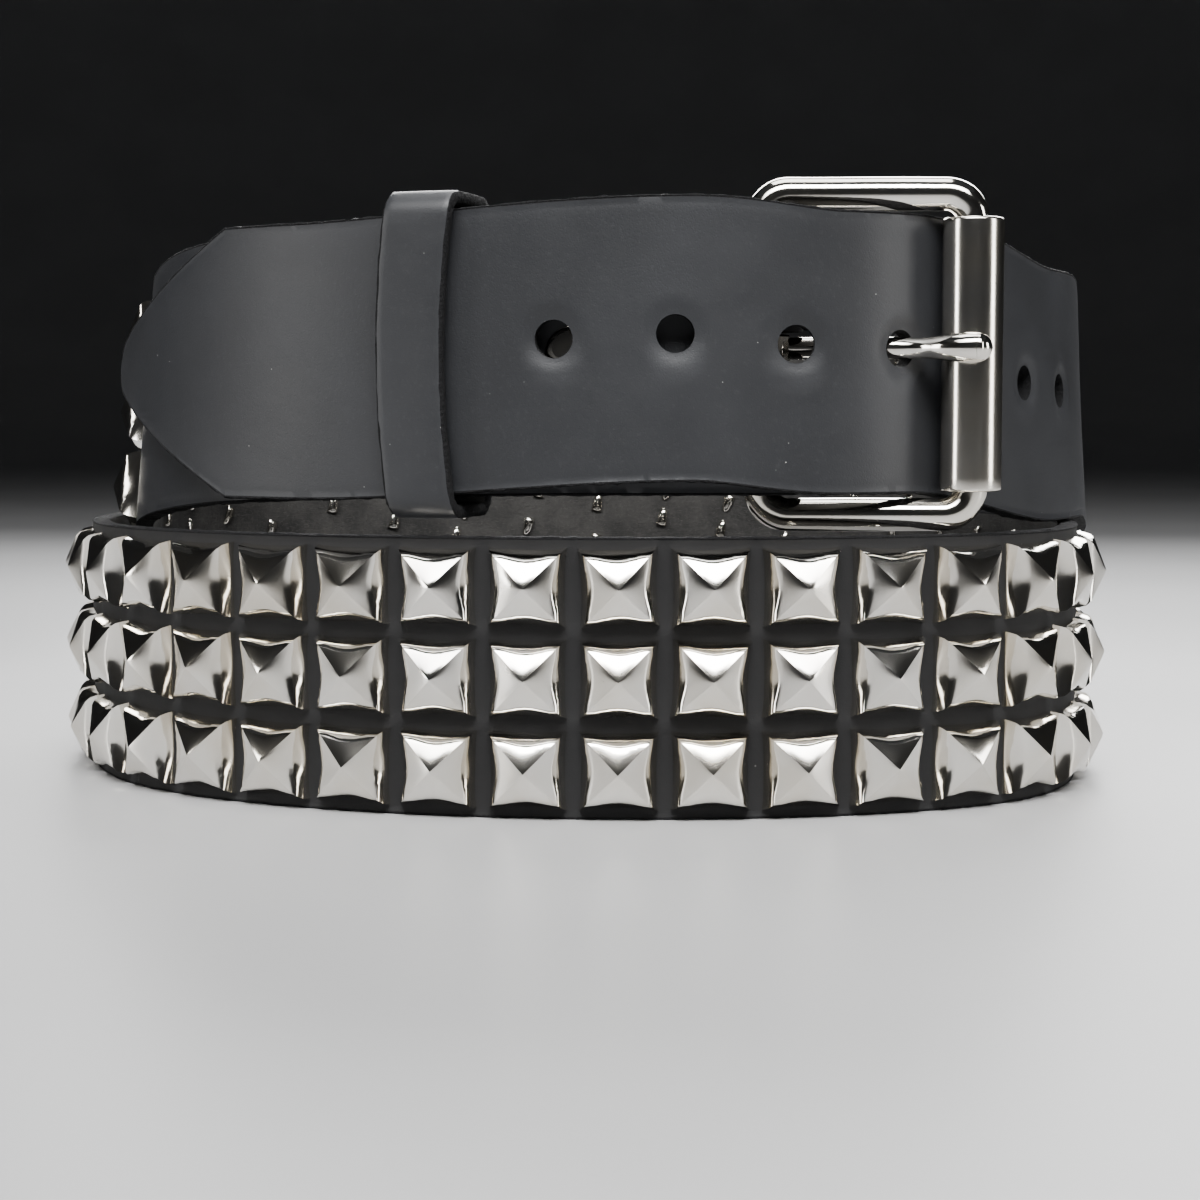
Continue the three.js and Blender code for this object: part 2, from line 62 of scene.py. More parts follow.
# from and to are turning angles; then how far the strap moves out, up, and how much it leans over
lie = [
    (4, 88, 0, -coil["earlyDrop"], 0),
    (10, 100, coil["lap"], 0, 0),
    (25, 80, 0, 0, 5),
    (39, 236, 0, half - buckle["middle"] + coil["earlyDrop"], 0),
    (90, 170, 0, 0, -5),
    (345, 445, coil["nest"], 0, 0),
    (455, 610, 0, coil["climb"], 0),
    (585, 630, 0, 0, 3),
    (607, 680, -coil["nest"] - coil["leadIn"], 0, 0),
    (612, 650, 0, coil["tier"] - coil["climb"], 0),
    (651, 715, coil["leadIn"], 0, 0),
    (650, 676, 0, 0, -3),
    (658, 682, 0, buckle["middle"] + strap["raise"] - coil["tier"] - half, 0),
    (702, 718, 0, strap["arch"], 0),
    (718, 750, 0, -strap["arch"] - strap["raise"] - strap["tipDrop"], 0),
    (730, 820, coil["lap"], 0, 0),
    (745, 800, 0, 0, 5),
    (755, 800, strap["tipSpring"], 0, 0),
]


def share(low, high, value):
    return np.clip((np.asarray(value, float) - low) / (high - low), 0, 1)


def ease(low, high, value):
    t = share(low, high, value)
    return t * t * (3 - 2 * t)


def easeMore(low, high, value):
    t = share(low, high, value)
    return t ** 3 * (t * (6 * t - 15) + 10)


def unit(v):
    return v / np.linalg.norm(v, axis=-1, keepdims=True)


def outward(turn):
    a = np.asarray(turn, float) * deg
    return np.stack([-np.sin(a), -np.cos(a), a * 0], -1)


def forward(turn):
    a = np.asarray(turn, float) * deg
    return np.stack([-np.cos(a), np.sin(a), a * 0], -1)


def reachAt(turn):
    oval = coil["radius"] + coil["stretch"] * np.cos(2 * (turn - coil["stretchTurn"]) * deg)
    oval = oval - coil["flat"] * np.cos(4 * turn * deg) - coil["lap"]
    return oval + sum(row[2] * easeMore(row[0], row[1], turn) for row in lie)


planTurn = np.arange(coil["firstTurn"] - 40, coil["lastTurn"] + 0.01, 0.25)
planSlope = (reachAt(planTurn + 0.125) - reachAt(planTurn - 0.125)) / (0.25 * deg)
planPoint = outward(planTurn) * reachAt(planTurn)[:, None] + forward(planTurn) * planSlope[:, None]
planPoint[:, 1] -= planPoint[np.abs(planTurn - 360) < 20, 1].min()
planRun = np.concatenate([[0], np.cumsum(np.linalg.norm(np.diff(planPoint, axis=0), axis=1))])
planRun -= planRun[np.searchsorted(planTurn, coil["firstTurn"])]
spans = [(np.interp(row[0], planTurn, planRun), np.interp(row[1], planTurn, planRun)) for row in lie]


def heightAt(run):
    return buckle["middle"] + sum(row[3] * ease(*span, run) for row, span in zip(lie, spans))


def leanAt(run):
    return deg * sum(row[4] * ease(*span, run) for row, span in zip(lie, spans))


def placeAt(run):  # the middle of the smooth face, and the directions out of it, along it and across it
    run = np.atleast_1d(np.asarray(run, float))
    turn = np.interp(run, planRun, planTurn)
    point = np.stack([np.interp(run, planRun, planPoint[:, 0]), np.interp(run, planRun, planPoint[:, 1]),
                      heightAt(run)], -1)
    climb = np.arctan(heightAt(run + 0.5) - heightAt(run - 0.5))[:, None]
    lean = leanAt(run)[:, None]
    along = forward(turn) * np.cos(climb) + np.sin(climb) * np.array([0, 0, 1])
    out = outward(turn) * np.cos(lean) + np.cross(along, outward(turn)) * np.sin(lean)
    return point, out, along, np.cross(along, out)


endPoint, endOut, endAlong, endAcross = (v[0] for v in placeAt(0))
rearBar = endPoint - endOut * (thick + buckle["seat"] + buckle["wire"])
rearBar[2] = buckle["middle"]
backwards = np.interp(722, planTurn, planRun) - 0.1 * np.arange(1, 1500)
point, out, along, across = placeAt(backwards)
bars = point + out * (roller["radius"] + strap["rest"])
bars[:, 2] = buckle["middle"]
frontBar = bars[np.argmax(np.linalg.norm(bars - rearBar, axis=1) >= buckle["reach"])]
frameRight = unit(frontBar - rearBar)
frameOut = np.array([frameRight[1], -frameRight[0], 0])
prongRun = backwards[np.argmax((point - out * thick / 2 - rearBar) @ frameOut <= prong["lift"])]
strapEnd = prongRun + strap["tipReach"]
rollerLow, rollerHigh = (np.array(v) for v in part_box("buckle_roller"))
shift = (rollerLow + rollerHigh) / 2 - frontBar * mm


def onFrame(right, outBy, up=0.0):
    return rearBar + frameRight * right + frameOut * outBy + np.array([0, 0, up])


print("strap laid out, length", round(float(strapEnd)), "mm, prong hole at", round(float(prongRun)))

# Mesh helpers


def gridFaces(rows, columns, closed=False, start=0):
    i = np.arange(rows - 1)[:, None]
    j = np.arange(columns if closed else columns - 1)[None, :]
    k = (j + 1) % columns
    quads = np.stack([i * columns + j, i * columns + k, (i + 1) * columns + k, (i + 1) * columns + j], -1)
    return quads.reshape(-1, 4) + start


def makeMesh(name, points, faces, looks, lookOf=None, body="belt", node=None):
    mesh = bpy.data.meshes.new(name)
    mesh.from_pydata((np.asarray(points) * mm + shift).tolist(), [], [list(map(int, f)) for f in faces])
    for look in looks:
        mesh.materials.append(look)
    if lookOf is not None:
        mesh.polygons.foreach_set("material_index", np.asarray(lookOf, np.int32))
    mesh.polygons.foreach_set("use_smooth", np.ones(len(mesh.polygons), bool))
    work = bmesh.new()
    work.from_mesh(mesh)
    bmesh.ops.recalc_face_normals(work, faces=work.faces)
    work.to_mesh(mesh)
    work.free()
    piece = bpy.data.objects.new(name, mesh)
    bpy.context.scene.collection.objects.link(piece)
    if body:
        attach(piece, body)
        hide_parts(node)
    return piece


def creaseSharp(piece, angle):  # edges that turn more than this keep a hard line
    work = bmesh.new()
    work.from_mesh(piece.data)
    for edge in work.edges:
        if len(edge.link_faces) == 2 and edge.calc_face_angle() > angle * deg:
            edge.smooth = False
    work.to_mesh(piece.data)
    work.free()


def sweep(centres, tangents, sideways, radii, segments=24):  # round sections along a path, ends closed
    up = np.cross(tangents, sideways)
    a = np.arange(segments) / segments * 2 * math.pi
    ring = (sideways[:, None] * (np.cos(a) * radii[:, :1])[..., None]
            + up[:, None] * (np.sin(a) * radii[:, 1:])[..., None])
    points = (centres[:, None] + ring).reshape(-1, 3)
    faces = gridFaces(len(centres), segments, True).tolist()
    faces += [list(range(segments))[::-1], [len(points) - segments + i for i in range(segments)]]
    return points, faces


def spin(profile, segments, axis, one, two, centre, sweepTurn=360.0, startTurn=0.0):
    profile = np.asarray(profile, float)  # distance from the axis, distance along it
    whole = sweepTurn >= 360
    count = segments if whole else segments + 1
    a = (startTurn + np.arange(count) * sweepTurn / segments) * deg
    radial = one * np.cos(a)[:, None] + two * np.sin(a)[:, None]
    points = centre + radial[:, None] * profile[None, :, :1] + axis * profile[None, :, 1:]
    return points.reshape(-1, 3), count, whole


# Shader wires


class Wire:  # an output of a material's nodes, which can be used in sums
    def __init__(self, tree, socket=None):
        self.tree = tree
        self.socket = socket

    def node(self, kind, settings, inputs, output=0):
        made = self.tree.nodes.new(kind)
        for key, value in settings.items():
            setattr(made, key, value)
        for key, value in inputs.items():
            if isinstance(value, Wire):
                self.tree.links.new(value.socket, made.inputs[key])
            else:
                made.inputs[key].default_value = value
        return Wire(self.tree, made.outputs[output])

    def maths(self, operation, first, second=0.0):
        return self.node("ShaderNodeMath", {"operation": operation}, {0: first, 1: second})

    def __add__(self, other):
        return self.maths("ADD", self, other)

    def __radd__(self, other):
        return self.maths("ADD", other, self)

    def __sub__(self, other):
        return self.maths("SUBTRACT", self, other)

    def __rsub__(self, other):
        return self.maths("SUBTRACT", other, self)

    def __mul__(self, other):
        return self.maths("MULTIPLY", self, other)

    def __rmul__(self, other):
        return self.maths("MULTIPLY", other, self)

    def __truediv__(self, other):
        return self.maths("DIVIDE", self, other)

    def __pow__(self, other):
        return self.maths("POWER", self, other)

    def ramp(self, low, high, bottom=0.0, top=1.0):
        return self.node("ShaderNodeMapRange", {"interpolation_type": "SMOOTHSTEP", "clamp": True},
                         {"Value": self, "From Min": low, "From Max": high, "To Min": bottom, "To Max": top})

    def between(self, first, second):  # a colour from first to second as this goes from 0 to 1
        return self.node("ShaderNodeMix", {"data_type": "RGBA", "clamp_factor": True},
                         {0: self, 6: first, 7: second}, 2)

    def stretched(self, x, y, z):
        return self.node("ShaderNodeVectorMath", {"operation": "MULTIPLY"}, {0: self, 1: (x, y, z)})

    def noise(self, scale, detail=2.0, rough=0.5):
        return self.node("ShaderNodeTexNoise", {}, {"Vector": self, "Scale": scale, "Detail": detail,
                                                    "Roughness": rough})

    def cells(self, scale, kind="F1", output=0):
        return self.node("ShaderNodeTexVoronoi", {"feature": kind}, {"Vector": self, "Scale": scale}, output)

    def relief(self, distance, strength=1.0):
        return self.node("ShaderNodeBump", {}, {"Height": self, "Distance": distance, "Strength": strength})


def startLook(name, constants):
    look = bpy.data.materials.new(name)
    look.use_nodes = True
    shader = look.node_tree.nodes["Principled BSDF"]
    for key, value in constants.items():
        shader.inputs[key].default_value = value
    wire = Wire(look.node_tree)
    place = wire.node("ShaderNodeTexCoord", {}, {}, 3)
    return look, shader, wire, place


def feed(look, shader, **wires):
    for key, value in wires.items():
        look.node_tree.links.new(value.socket, shader.inputs[key.replace("_", " ")])


# Leather finishes

# deep is a painted shade: the near black that the smooth face is darkened to between the studs, where shade
# falls
leather = {"dye": (0.0125, 0.0132, 0.0150, 1), "deep": (0.0030, 0.0030, 0.0034, 1),
           "rubbed": (0.030, 0.031, 0.034, 1), "dust": (0.42, 0.42, 0.40, 1),
           "fleshDark": (0.012, 0.0118, 0.0115, 1),
           "fleshLight": (0.052, 0.050, 0.047, 1), "edge": (0.0045, 0.0045, 0.005, 1)}


def leatherGrain():
    look, shader, wire, place = startLook("leatherGrain", {"Specular IOR Level": 0.42, "IOR": 1.5})
    worn = wire.node("ShaderNodeAttribute", {"attribute_name": "worn"}, {}, 2)
    shadeAmongStuds = wire.node("ShaderNodeAttribute", {"attribute_name": "paintedShadeAmongStuds"}, {}, 2)
    cloud = place.noise(38, 3, 0.55)
    smear = place.stretched(1, 1, 2.4).noise(130, 3, 0.6)
    pores = place.cells(2600).ramp(0.05, 0.55)
    fine = place.noise(5200, 2, 0.6)
    grit = place.noise(1500, 2, 0.5)
    dusty = place.cells(430).ramp(0.055, 0.03) * place.noise(160, 1).ramp(0.62, 0.70)
    dye = cloud.ramp(0.3, 0.75).between(leather["dye"], tuple(c * 1.35 for c in leather["dye"][:3]) + (1,))
    dye = (grit.ramp(0.55, 0.8) * 0.35).between(dye, leather["rubbed"])
    dye = (worn * smear.ramp(0.25, 0.75, 0.35, 1.0)).between(dye, leather["rubbed"])
    # painted shade: the smooth face goes near black all along the studded run, as if shaded by the studs
    dye = shadeAmongStuds.between(dye, leather["deep"])
    dye = (dusty * 0.8).between(dye, leather["dust"])
    shine = 0.34 + cloud * 0.10 + smear * 0.08 + grit * 0.06 + shadeAmongStuds * 0.3
    bump = (pores * 0.35 + fine * 0.30 + grit * 0.5 + smear * 0.9).relief(0.00006, 0.42)
    feed(look, shader, Base_Color=dye, Roughness=shine, Normal=bump)
    return look


def leatherEdge():
    look, shader, wire, place = startLook("leatherEdge", {"Specular IOR Level": 0.2})
    fibre = place.noise(2400, 3, 0.75)
    tuft = place.cells(1500)
    tone = fibre.ramp(0.55, 0.85).between(leather["edge"], leather["rubbed"])
    bump = (fibre * 1.2 + tuft * 0.8).relief(0.00025, 0.8)
    feed(look, shader, Base_Color=tone, Roughness=0.82 + fibre * 0.15, Normal=bump)
    return look


def leatherFlesh():
    look, shader, wire, place = startLook("leatherFlesh", {"Specular IOR Level": 0.25})
    mottle = place.noise(95, 4, 0.6)
    nap = place.noise(1500, 4, 0.7)
    scratch = place.stretched(1, 1, 7).noise(240, 2, 0.4)
    lines = (scratch - 0.5).maths("ABSOLUTE", scratch - 0.5).ramp(0.012, 0.0)
    tone = (mottle.ramp(0.32, 0.72) * 0.55 + nap.ramp(0.4, 0.75) * 0.35).between(leather["fleshDark"],
                                                                               leather["fleshLight"])
    tone = (lines * 0.45).between(tone, (0.085, 0.08, 0.074, 1))
    bump = (nap + mottle * 0.6 - lines * 0.8).relief(0.00022, 0.7)
    feed(look, shader, Base_Color=tone, Roughness=0.74 + nap * 0.2, Normal=bump)
    return look


# Metal finishes

nickel = {"bright": (0.80, 0.775, 0.725, 1), "warm": (0.70, 0.655, 0.57, 1), "grime": (0.16, 0.14, 0.12, 1)}


def nickelLook(name, rough, haze, brushed=0.0):
    look, shader, wire, place = startLook(name, {"Metallic": 1.0, "Specular IOR Level": 0.5})
    drift = place.noise(70, 3, 0.55)
    speck = place.cells(900).ramp(0.10, 0.04) * place.noise(330, 1).ramp(0.60, 0.70)
    wipe = place.stretched(1, 1, 0.12).noise(900, 3, 0.6)
    tone = drift.ramp(0.35, 0.75).between(nickel["bright"], nickel["warm"])
    tone = (speck * 0.6).between(tone, nickel["grime"])
    shine = rough + drift * haze + wipe * brushed + speck * 0.3
    bump = (drift * 0.8 + wipe * 0.35 + place.noise(2600, 2) * 0.08).relief(0.00004, 0.35)
    feed(look, shader, Base_Color=tone, Roughness=shine, Normal=bump)
    return look


grainLook = leatherGrain()
edgeLook = leatherEdge()
fleshLook = leatherFlesh()
studLook = nickelLook("nickelStuds", 0.055, 0.10)
wireLook = nickelLook("nickelWire", 0.05, 0.09)
rollerLook = nickelLook("nickelRoller", 0.10, 0.08, 0.06)
print("finishes made")

# Strap

loft = {"step": 1.2, "holeStep": 0.85, "edgeRound": 0.45, "studPress": 0.22, "dish": 0.55, "dishReach": 6.2,
        "rollOver": 0.14, "fuzz": 0.07}
studs = {"side": 12.0, "pitch": 14.4, "columns": 55, "seat": 12.6}
columnRuns = strap["plain"] + studs["side"] / 2 + studs["pitch"] * np.arange(studs["columns"])
studsEnd = columnRuns[-1] + studs["seat"] / 2
holeRuns = prongRun + strap["holePitch"] * np.arange(-strap["holesEachSide"], strap["holesEachSide"] + 1)


fold = {"long": 74, "closesIn": 20, "rivetRuns": (31, 66), "rivetHole": 4.7}


def foldGap(run):
    atBar = 2 * (buckle["wire"] + buckle["seat"])
    return strap["rest"] + (atBar - strap["rest"]) * (1 - ease(0, fold["closesIn"], run))


def halfWidthAt(run):
    left = strapEnd - np.asarray(run, float)
    radius, length = strap["tipRadius"], strap["tipLength"]
    shoulder = math.atan2(half - radius, length - radius)
    straightFrom = radius * (1 - math.sin(shoulder))
    narrow = radius * math.cos(shoulder)
    slanted = narrow + (half - narrow) * share(straightFrom, length, left)
    nose = np.maximum(np.sqrt(np.maximum(radius ** 2 - (radius - left) ** 2, 0)), radius * 0.3)
    return np.where(left >= length, half, np.where(left > straightFrom, slanted, nose))


def strapStations():
    foldRuns = np.linspace(fold["long"], 0, 50)
    point, out, along, across = placeAt(foldRuns)
    behind = point - out * (2 * thick + foldGap(foldRuns))[:, None]
    rows = [(behind, -out, across, foldRuns * 0 + half, -foldRuns)]
    wrapTurns = np.linspace(coil["firstTurn"] - 180, coil["firstTurn"], 22)[1:-1]
    out = outward(wrapTurns)
    rows.append((rearBar + out * (buckle["wire"] + buckle["seat"] + thick), out,
                 np.repeat(endAcross[None], len(out), 0), wrapTurns * 0 + half, wrapTurns * 0))
    holed = holeRuns[0] - 8
    mainRuns = np.concatenate([
        np.arange(0, strap["plain"] - 0.1, loft["step"]),
        np.arange(strap["plain"], studsEnd, loft["step"]),
        np.arange(studsEnd + 0.9, holed, loft["step"]),
        np.arange(holed, strapEnd - strap["tipLength"], loft["holeStep"]),
        np.linspace(strapEnd - strap["tipLength"], strapEnd - strap["tipRadius"], 30),
        strapEnd - strap["tipRadius"] * np.array([0.85, 0.7, 0.55, 0.42, 0.3, 0.2, 0.12, 0.05, 0])])
    point, out, along, across = placeAt(mainRuns)
    rows.append((point, out, across, halfWidthAt(mainRuns), mainRuns))
    return [np.concatenate(column) for column in zip(*rows)]


def makeStrap():
    point, out, across, halfWide, run = strapStations()
    columns = np.concatenate([np.linspace(-1, -0.33, 14)[:-1], np.linspace(-0.33, 0.33, 19),
                              np.linspace(0.33, 1, 14)[1:]])
    fleshColumns = np.linspace(1, -1, 17)
    r = loft["edgeRound"]
    inset = halfWide[:, None] - r
    grainU = inset * columns[None]
    fleshU = inset * fleshColumns[None]
    turnIn = np.array([30, 60]) * deg
    edgeU = np.concatenate([inset + r * np.sin(turnIn), inset + r + 0 * turnIn[:1],
                            inset + r * np.sin(turnIn[::-1])], 1)
    edgeN = np.concatenate([-r + r * np.cos(turnIn), [-thick / 2], -thick + r - r * np.cos(turnIn[::-1])])
    edgeN = np.repeat(edgeN[None], len(run), 0)
    edgeU = edgeU + rng.normal(0, loft["fuzz"], edgeU.shape) * [0.5, 1, 1, 1, 0.5]
    edgeN = edgeN + rng.normal(0, loft["fuzz"], edgeN.shape) * [0.3, 0.6, 1, 0.6, 0.3] * 0.5
    otherU = -(edgeU[:, ::-1] + rng.normal(0, loft["fuzz"], edgeU.shape) * 0.7)
    otherN = edgeN[:, ::-1]

    # the smooth face: pressed in under the studs, dished round the holes, rolled over at the edges
    runs = run[:, None] + grainU * 0
    column = np.clip(np.round((runs - columnRuns[0]) / studs["pitch"]), 0, studs["columns"] - 1)
    alongOff = np.abs(runs - (columnRuns[0] + column * studs["pitch"]))
    row = np.clip(np.round(grainU / studs["pitch"]), -1, 1)
    acrossOff = np.abs(grainU - row * studs["pitch"])
    near = np.maximum(alongOff, acrossOff)
    depth = -loft["studPress"] * (1 - ease(5.7, 7.1, near))
    worn = 0.35 * ease(1.6, 0.2, inset + r - np.abs(grainU))
    for holeRun in holeRuns:
        away = np.hypot(runs - holeRun, grainU - strap["holeRaise"])
        away = np.where(runs > 0, away, 99)
        depth = depth - loft["dish"] * (1 - ease(2.7, loft["dishReach"], away)) ** 1.6
        below = ease(6.0, 3.2, np.hypot(runs - holeRun, (grainU - strap["holeRaise"] + 3.6) * 1.2))
        worn = np.maximum(worn, np.where(runs > 0, 0.55 * below, 0))
    depth = depth - loft["rollOver"] * (1 - ease(0, 2.2, inset + r - np.abs(grainU)))
    depth = depth - 0.05 * (1 + np.sin(runs * 0.11 + 1.3 * np.sin(grainU * 0.13 + runs * 0.021)))
    # where the painted shade between the studs is laid: the whole studded run of the smooth face
    shadeAmong = ease(strap["plain"] - 3, strap["plain"] + 1, runs) * (1 - ease(studsEnd, studsEnd + 3, runs))
    ripple = 0.10 * np.sin(run[:, None] * 0.19 + fleshU * 0.23)
    fleshN = -thick + ripple * ease(0, 3, halfWide[:, None] - np.abs(fleshU))

    u = np.concatenate([grainU, edgeU, fleshU, otherU], 1)
    n = np.concatenate([depth, edgeN, np.broadcast_to(fleshN, fleshU.shape), otherN], 1)
    points = point[:, None] + out[:, None] * n[..., None] + across[:, None] * u[..., None]
    ring = u.shape[1]
    faces = gridFaces(len(run), ring, True).tolist()
    g, f = grainU.shape[1], fleshU.shape[1]
    kind = np.ones(ring, int)  # 0 grain, 1 raw edge, 2 flesh
    kind[:g - 1] = 0
    kind[g + 5:g + 5 + f - 1] = 2
    lookOf = np.tile(kind, len(run) - 1).tolist() + [1, 1]
    faces += [list(range(ring))[::-1], [points.shape[0] * ring - ring + i for i in range(ring)]]
    piece = makeMesh("strapLeather", points.reshape(-1, 3), faces, [grainLook, edgeLook, fleshLook], lookOf,
                     node="studded_strap")
    wornAll = np.zeros(u.shape)
    wornAll[:, :g] = worn
    shadeAmongAll = np.zeros(u.shape)
    shadeAmongAll[:, :g] = shadeAmong
    for name, values in (("worn", wornAll), ("paintedShadeAmongStuds", shadeAmongAll)):
        layer = piece.data.attributes.new(name, "FLOAT", "POINT")
        layer.data.foreach_set("value", values.reshape(-1).astype(np.float32))
    return piece


def cutter(name, points, faces):
    return makeMesh(name, points, faces, [edgeLook], body=None)


def cutAway(piece, tools):
    for tool in tools:
        cut = piece.modifiers.new("cut", "BOOLEAN")
        cut.object = tool
        cut.operation = "DIFFERENCE"
        cut.solver = "EXACT"
        cut.material_mode = "TRANSFER"
    made = bpy.data.meshes.new_from_object(piece.evaluated_get(bpy.context.evaluated_depsgraph_get()))
    piece.modifiers.clear()
    piece.data = made
    for tool in tools:
        bpy.data.objects.remove(tool)


def pin(run, diameter, top, bottom, raised):
    point, out, along, across = (v[0] for v in placeAt(run))
    centres = point + across * raised + out * np.array([[top], [bottom]])
    radii = np.full((2, 2), diameter / 2)
    return sweep(centres, np.repeat(-out[None], 2, 0), np.repeat(along[None], 2, 0), radii, 36)


# the prong's own line: through the middle of the strap's hole and over the roller
rollerTop = roller["radius"] + prong["seat"]
holeRight = float((placeAt(prongRun)[0][0] - rearBar) @ frameRight)
prongHeight = rollerTop + prong["radius"] + 0.1
prongKnots = np.array([
    (buckle["wire"] + prong["seat"], 0), (holeRight * 0.55, prong["lift"] * 0.35), (holeRight, prong["lift"]),
    (buckle["reach"] - 4.606, prongHeight * 0.79), (buckle["reach"], prongHeight),
    (buckle["reach"] + prong["past"] - 2.4, prongHeight)])


def smoothLine(knots, count):  # a line that passes through each knot
    ends = np.vstack([2 * knots[0] - knots[1], knots, 2 * knots[-1] - knots[-2]])
    out = []
    for i in range(len(knots) - 1):
        a, b, c, d = ends[i:i + 4]
        t = np.linspace(0, 1, count, endpoint=i == len(knots) - 2)[:, None]
        out.append(0.5 * (2 * b + (c - a) * t + (2 * a - 5 * b + 4 * c - d) * t ** 2
                          + (3 * b - a - 3 * c + d) * t ** 3))
    return np.concatenate(out)


def prongLine(count):
    flat = smoothLine(prongKnots, count)
    points = rearBar + flat[:, :1] * frameRight + flat[:, 1:] * frameOut + np.array([0, 0, prong["raise"]])
    return points, unit(np.gradient(points, axis=0))


def cutTools():
    tools = [cutter("pin%d" % i, *pin(run, strap["hole"], 2.0, -thick - 0.6, strap["holeRaise"]))
             for i, run in enumerate(holeRuns)]
    for i, run in enumerate(fold["rivetRuns"]):
        through = 2 * thick + float(foldGap(run))
        tools.append(cutter("rivetPin%d" % i, *pin(run, fold["rivetHole"], 0.6, -through - 0.6, 0)))
    points, tangents = prongLine(8)
    upright = np.repeat(np.array([[0, 0, 1.0]]), len(points), 0)
    tools.append(cutter("channel", *sweep(points, tangents, upright, np.full((len(points), 2), 2.15), 20)))
    reach = buckle["wire"] + buckle["seat"] + thick + 2
    tall = prong["eye"] / 2 + 0.4
    corners = [onFrame(r * reach, o * reach, prong["raise"] + z * tall)
               for z in (-1, 1) for r, o in ((-1, -1), (1, -1), (1, 1), (-1, 1))]
    faces = [[3, 2, 1, 0], [4, 5, 6, 7]] + [[i, (i + 1) % 4, (i + 1) % 4 + 4, i + 4] for i in range(4)]
    tools.append(cutter("slotTool", np.array(corners), faces))
    return tools


strapPiece = makeStrap()
cutAway(strapPiece, cutTools())
creaseSharp(strapPiece, 42)
print("strap made,", len(strapPiece.data.polygons), "faces")

# Studs

capShape = {"apex": 5.3, "slope": 2.85, "rollMiddle": 0.68, "rollCorner": 0.93, "pinch": 0.12, "wing": 0.22,
            "pillow": 0.07, "skirt": -0.45}


def capPatch():
    p = np.array([0.06, 0.2, 0.36, 0.52, 0.64, 0.70, 0.76, 0.82, 0.88, 0.93, 0.97, 1.0])
    m = np.linspace(-1, 1, 9)
    p, m = p[:, None], m[None]
    start = capShape["rollMiddle"] + (capShape["rollCorner"] - capShape["rollMiddle"]) * np.abs(m) ** 1.7
    top = capShape["apex"] - capShape["slope"] * p - 0.05 * (1 - p) ** 8
    top = top + capShape["pillow"] * np.sin(math.pi * np.minimum(p / 0.8, 1)) * (1 - m * m)
    top = top - 0.9 * np.abs(m) ** 4 * share(0.80, 1, p) ** 1.5
    fall = share(0, 1, (p - start) / (1 - start))
    height = top * (1 - fall ** 1.45) ** 0.85
    reach = 6 * p * (1 + (capShape["wing"] * np.abs(m) ** 7 - capShape["pinch"] * (1 - m * m)) / 6 * p ** 5)
    x = reach * (1 + 0 * m)
    y = reach * m
    patch = np.stack([x, y, height], -1)
    skirt = np.stack([x[-1], y[-1], y[-1] * 0 + capShape["skirt"]], -1)
    return np.concatenate([patch, skirt[None]])


def capMesh():
    patch = capPatch()
    rows, columns = patch.shape[:2]
    points, faces = [], []
    for quarter in range(4):
        c, s = [(1, 0), (0, 1), (-1, 0), (0, -1)][quarter]
        turned = np.stack([patch[..., 0] * c - patch[..., 1] * s, patch[..., 0] * s + patch[..., 1] * c,
                           patch[..., 2]], -1).reshape(-1, 3)
        start = len(points)
        points += turned.tolist() + [[0, 0, capShape["apex"] - 0.08]]
        faces += [list(q) for q in gridFaces(rows, columns, start=start)]
        tip = len(points) - 1
        faces += [[tip, start + j, start + j + 1] for j in range(columns - 1)]
    return np.array(points), faces


def studFrames():
    near, far = placeAt(columnRuns - studs["seat"] / 2), placeAt(columnRuns + studs["seat"] / 2)
    along = unit(far[0] - near[0])
    across = unit(near[3] + far[3])
    out = unit(np.cross(across, along))
    middle = (near[0] + far[0]) / 2
    return middle, along, across, out


def setOnStrap(name, template, faces, look, places, turns, node):
    points, allFaces = [], []
    count = len(template)
    for i, (origin, x, y, z) in enumerate(places):
        c, s = math.cos(turns[i]), math.sin(turns[i])
        points.append(origin + template[:, :1] * (x * c + y * s) + template[:, 1:2] * (y * c - x * s)
                      + template[:, 2:] * z)
        allFaces += [[v + i * count for v in face] for face in faces]
    return makeMesh(name, np.concatenate(points), allFaces, [look], node=node)


def makeStuds():
    template, faces = capMesh()
    middle, along, across, out = studFrames()
    places = []
    for i in range(studs["columns"]):
        for row in (1, 0, -1):
            tilt = rng.normal(0, 0.010, 2)
            z = unit(out[i] + along[i] * tilt[0] + across[i] * tilt[1])
            x = unit(along[i] - z * (along[i] @ z))
            origin = middle[i] + across[i] * row * studs["pitch"] + out[i] * rng.normal(0, 0.03)
            places.append((origin, x, np.cross(z, x), z))
    turns = rng.normal(0, 0.9 * deg, len(places))
    setOnStrap("studCaps", template, faces, studLook, places, turns, "studded_strap")


legs = {"wide": 2.1, "thick": 0.38, "apart": 4.6, "long": 3.4}


